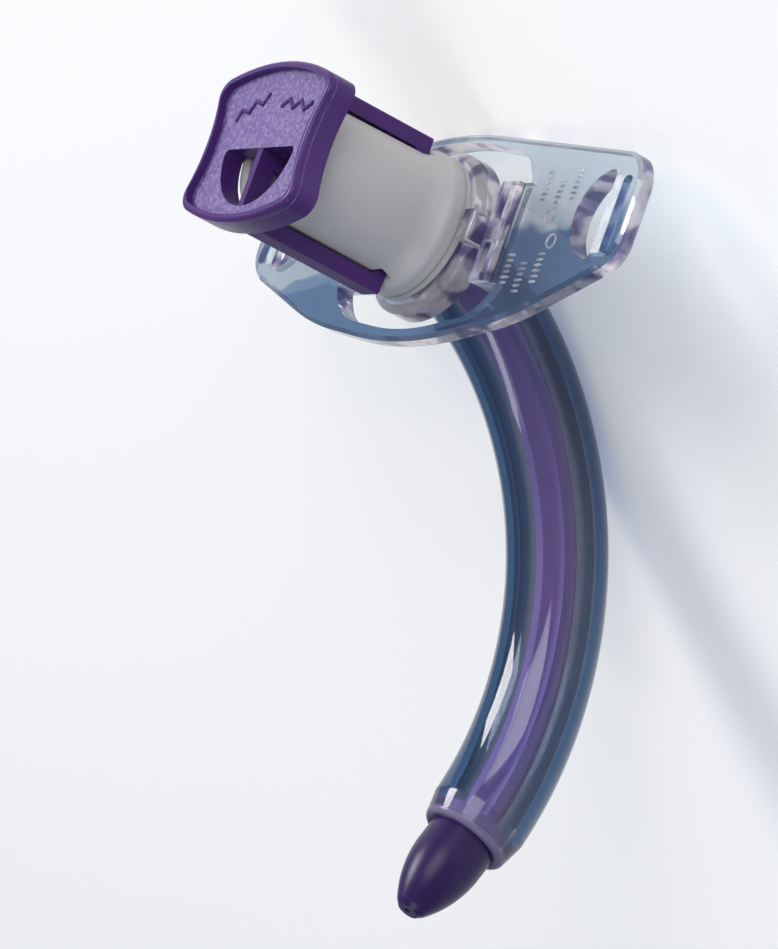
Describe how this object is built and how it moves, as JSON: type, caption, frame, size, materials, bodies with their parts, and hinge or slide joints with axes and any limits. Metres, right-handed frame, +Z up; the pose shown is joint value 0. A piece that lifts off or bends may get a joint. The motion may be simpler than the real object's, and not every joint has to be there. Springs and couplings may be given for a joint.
{
  "type": "tracheostomy tube with obturator",
  "caption": "Curved clear tracheostomy tube with a tilting neck flange, a grey cone connector and a purple clip-on obturator whose bullet tip leads the tube.",
  "frame": {"origin": "foot of the centre of the assembly's bounding box, on the table it lies on", "axes": "+X along the table from the back of the tube's bend to the neck flange's top edge, +Y to the wearer's right along the flange, +Z up"},
  "size_m": [0.0972, 0.0744, 0.0467],
  "materials": {
    "clear_tube": "clear, slightly blue soft PVC with a smooth glossy surface",
    "clear_moulding": "clear glossy moulded plastic with blue and pink light at its thick edges",
    "grey_connector": "opaque satin light grey plastic",
    "purple_obturator": "deep purple satin plastic, finely spark-textured in the head's recess"
  },
  "bodies": {
    "tube": {"outer_tube": "clear_tube", "hub": "clear_moulding", "connector": "grey_connector", "obturator": "purple_obturator"},
    "flange": {"neck_flange": "clear_moulding"}
  },
  "joints": [
    {"name": "flange_tilt", "type": "hinge", "parent": "tube", "child": "flange", "pos_m": [0.02182, 0, 0.0103], "axis": [0, 1, 0], "range_deg": [-20, 20]}
  ]
}
